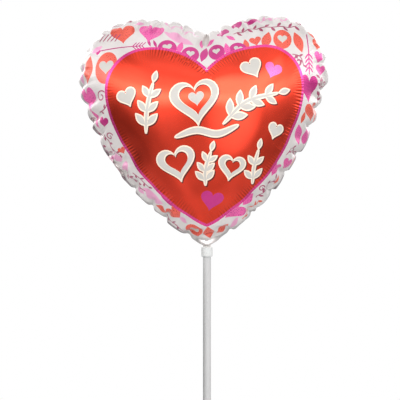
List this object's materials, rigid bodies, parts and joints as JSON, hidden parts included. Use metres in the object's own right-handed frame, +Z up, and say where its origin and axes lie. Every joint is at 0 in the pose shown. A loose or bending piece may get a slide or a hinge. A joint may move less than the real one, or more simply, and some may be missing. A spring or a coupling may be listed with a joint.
{
  "type": "heart-shaped foil balloon on a stick",
  "caption": "Inflated heart-shaped foil balloon with a sealed, puckered rim, held by its tail in a small clamp cup on a slim hollow plastic stick.",
  "frame": {"origin": "centre of the stick's open lower end", "axes": "+Z up along the stick towards the balloon, -Y the way the printed front faces, +X to the right seen from the front"},
  "size_m": [0.1986, 0.092, 0.4673],
  "materials": {
    "stick_plastic": "satin white extruded plastic",
    "cup_plastic": "smooth, slightly translucent white moulding",
    "tail_film": "pearly white metallised film, crumpled",
    "front_print_foil": "metallised film printed with a red heart on a patterned white border",
    "rear_foil": "metallised film with the same print as the front",
    "valve_film": "clear, slightly milky film"
  },
  "bodies": {
    "stick": {"stick_tube": "stick_plastic"},
    "cup": {"clamp_cup": "cup_plastic"},
    "neck": {"front_neck_tail": "tail_film", "rear_neck_tail": "tail_film"},
    "balloon": {"front_foil_panel": "front_print_foil", "rear_foil_panel": "rear_foil", "valve_film_front": "valve_film", "valve_film_rear": "valve_film"}
  },
  "joints": [
    {"name": "cup_slide", "type": "slide", "parent": "stick", "child": "cup", "axis": [0, 0, -1], "range_m": [0, 0.03]},
    {"name": "neck_twist", "type": "hinge", "parent": "stick", "child": "neck", "pos_m": [0, 0, 0.28], "axis": [0, 0, 1], "range_deg": [-90, 90]},
    {"name": "throat_nod", "type": "hinge", "parent": "neck", "child": "balloon", "pos_m": [0, 0, 0.285], "axis": [1, 0, 0], "range_deg": [-30, 30], "stiffness_Nm_per_rad": 0.05}
  ]
}
